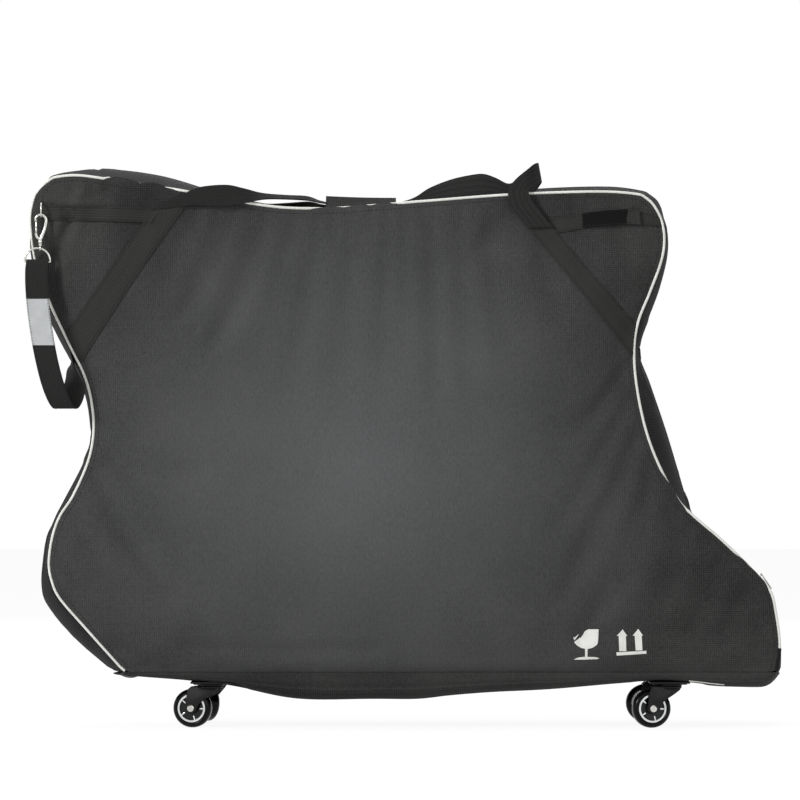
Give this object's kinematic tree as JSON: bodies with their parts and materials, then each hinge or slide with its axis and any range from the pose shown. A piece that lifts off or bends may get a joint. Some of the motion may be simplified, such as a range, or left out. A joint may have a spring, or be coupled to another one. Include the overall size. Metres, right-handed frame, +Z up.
{
  "type": "bike travel bag",
  "caption": "Padded fabric bag for carrying a bicycle upright, with unzipping sides, a wheeled base tray and an inner frame.",
  "frame": {"origin": "on the ground under the middle of the bag", "axes": "+X along the bag from the handlebar end to the rear end, +Y across it away from the near side, +Z up"},
  "size_m": [1.2193, 0.4383, 0.9001],
  "materials": {
    "bag_fabric": "coated woven polyester, matte charcoal",
    "webbing": "ribbed woven nylon, black",
    "piping": "smooth coated cord, off-white",
    "tray_fabric": "rubber-coated woven fabric, black",
    "zip": "moulded coil, black",
    "bright_metal": "polished plate",
    "frame_alloy": "black anodised",
    "caster_steel": "black powder coat",
    "tyre_rubber": "moulded, slightly glossy",
    "rim_plastic": "silver moulded",
    "foot_plastic": "moulded, black"
  },
  "bodies": {
    "root": {"base_tray": "tray_fabric", "rail_near": "frame_alloy", "rail_far": "frame_alloy", "skid_foot_near": "foot_plastic", "skid_foot_far": "foot_plastic", "front_cross_plate": "frame_alloy", "rear_cross_plate": "frame_alloy", "caster_plate_front_near": "caster_steel", "caster_plate_front_far": "caster_steel", "caster_plate_rear_near": "caster_steel", "caster_plate_rear_far": "caster_steel", "rear_dropout_stand": "frame_alloy", "rear_axle": "bright_metal"},
    "swivel_front_near": {"caster_fork_front_near": "caster_steel", "axle_bolt_front_near": "bright_metal"},
    "swivel_front_far": {"caster_fork_front_far": "caster_steel", "axle_bolt_front_far": "bright_metal"},
    "swivel_rear_near": {"caster_fork_rear_near": "caster_steel", "axle_bolt_rear_near": "bright_metal"},
    "swivel_rear_far": {"caster_fork_rear_far": "caster_steel", "axle_bolt_rear_far": "bright_metal"},
    "wheel_front_near": {"tyre_front_near": "tyre_rubber", "rim_front_near": "rim_plastic"},
    "wheel_front_far": {"tyre_front_far": "tyre_rubber", "rim_front_far": "rim_plastic"},
    "wheel_rear_near": {"tyre_rear_near": "tyre_rubber", "rim_rear_near": "rim_plastic"},
    "wheel_rear_far": {"tyre_rear_far": "tyre_rubber", "rim_rear_far": "rim_plastic"},
    "rear_qr_lever": {"rear_qr_lever": "bright_metal"},
    "front_fork_stand": {"front_fork_stand": "frame_alloy", "front_axle": "bright_metal"},
    "front_qr_lever": {"front_qr_lever": "bright_metal"},
    "near_side": {"near_panel": "bag_fabric", "near_gusset": "bag_fabric", "near_piping": "piping", "near_zip_chain": "zip", "near_front_strap": "webbing", "near_rear_strap": "webbing", "near_front_cross_strap": "webbing", "near_rear_cross_strap": "webbing", "strap_ring": "bright_metal", "hook_eye": "bright_metal", "d_ring": "bright_metal", "pull_strap": "webbing", "zip_slider": "bright_metal"},
    "far_side": {"far_panel": "bag_fabric", "far_gusset": "bag_fabric", "far_piping": "piping", "far_zip_chain": "zip", "far_front_strap": "webbing", "far_rear_strap": "webbing"},
    "near_handle": {"near_handle": "webbing"},
    "far_handle": {"far_handle": "webbing"},
    "snap_hook": {"snap_hook": "bright_metal"},
    "snap_hook_gate": {"snap_hook_gate": "bright_metal"},
    "zip_pull": {"zip_pull": "bright_metal"}
  },
  "joints": [
    {"name": "near_side_open", "type": "hinge", "parent": "root", "child": "near_side", "pos_m": [0, -0.13, 0.09], "axis": [1, 0, 0], "range_deg": [0, 85]},
    {"name": "far_side_open", "type": "hinge", "parent": "root", "child": "far_side", "pos_m": [0, 0.13, 0.09], "axis": [-1, 0, 0], "range_deg": [0, 85]},
    {"name": "swivel_front_near", "type": "hinge", "parent": "root", "child": "swivel_front_near", "pos_m": [-0.3135, -0.095, 0.0667], "axis": [0, 0, 1], "continuous": true},
    {"name": "swivel_front_far", "type": "hinge", "parent": "root", "child": "swivel_front_far", "pos_m": [-0.3135, 0.095, 0.0667], "axis": [0, 0, 1], "continuous": true},
    {"name": "swivel_rear_near", "type": "hinge", "parent": "root", "child": "swivel_rear_near", "pos_m": [0.42, -0.095, 0.0667], "axis": [0, 0, 1], "continuous": true},
    {"name": "swivel_rear_far", "type": "hinge", "parent": "root", "child": "swivel_rear_far", "pos_m": [0.42, 0.095, 0.0667], "axis": [0, 0, 1], "continuous": true},
    {"name": "wheel_front_near_spin", "type": "hinge", "parent": "swivel_front_near", "child": "wheel_front_near", "pos_m": [-0.34284, -0.08876, 0.031], "axis": [0.2079, 0.9781, 0], "continuous": true},
    {"name": "wheel_front_far_spin", "type": "hinge", "parent": "swivel_front_far", "child": "wheel_front_far", "pos_m": [-0.32984, 0.12016, 0.031], "axis": [0.8387, 0.5446, 0], "continuous": true},
    {"name": "wheel_rear_near_spin", "type": "hinge", "parent": "swivel_rear_near", "child": "wheel_rear_near", "pos_m": [0.39066, -0.10124, 0.031], "axis": [-0.2079, 0.9781, 0], "continuous": true},
    {"name": "wheel_rear_far_spin", "type": "hinge", "parent": "swivel_rear_far", "child": "wheel_rear_far", "pos_m": [0.39004, 0.09343, 0.031], "axis": [-0.0523, 0.9986, 0], "continuous": true},
    {"name": "fork_stand_slide", "type": "slide", "parent": "root", "child": "front_fork_stand", "axis": [1, 0, 0], "range_m": [0, 0.12]},
    {"name": "front_qr", "type": "hinge", "parent": "front_fork_stand", "child": "front_qr_lever", "pos_m": [-0.425, -0.0693, 0.22], "axis": [1, 0, 0], "range_deg": [0, 170]},
    {"name": "rear_qr", "type": "hinge", "parent": "root", "child": "rear_qr_lever", "pos_m": [0.525, -0.0843, 0.2], "axis": [1, 0, 0], "range_deg": [0, 170]},
    {"name": "near_handle_lift", "type": "hinge", "parent": "near_side", "child": "near_handle", "pos_m": [-0.09836, -0.16189, 0.86166], "axis": [0.9935, 0.1133, -0.0056], "range_deg": [0, 150]},
    {"name": "far_handle_lift", "type": "hinge", "parent": "far_side", "child": "far_handle", "pos_m": [-0.09836, 0.16189, 0.86166], "axis": [-0.9935, 0.1133, 0.0056], "range_deg": [0, 150]},
    {"name": "snap_hook_swivel", "type": "hinge", "parent": "near_side", "child": "snap_hook", "pos_m": [-0.5785, -0.21472, 0.77035], "axis": [0, 0, 1], "range_deg": [-20, 20]},
    {"name": "snap_hook_gate_turn", "type": "hinge", "parent": "snap_hook", "child": "snap_hook_gate", "pos_m": [-0.5851, -0.21472, 0.78815], "axis": [0, 1, 0], "range_deg": [0, 22], "stiffness_Nm_per_rad": 0.02, "springref_deg": -20.05},
    {"name": "zip_pull_flip", "type": "hinge", "parent": "near_side", "child": "zip_pull", "pos_m": [0.57436, 0, 0.24487], "axis": [0, -1, 0], "range_deg": [0, 150]}
  ]
}
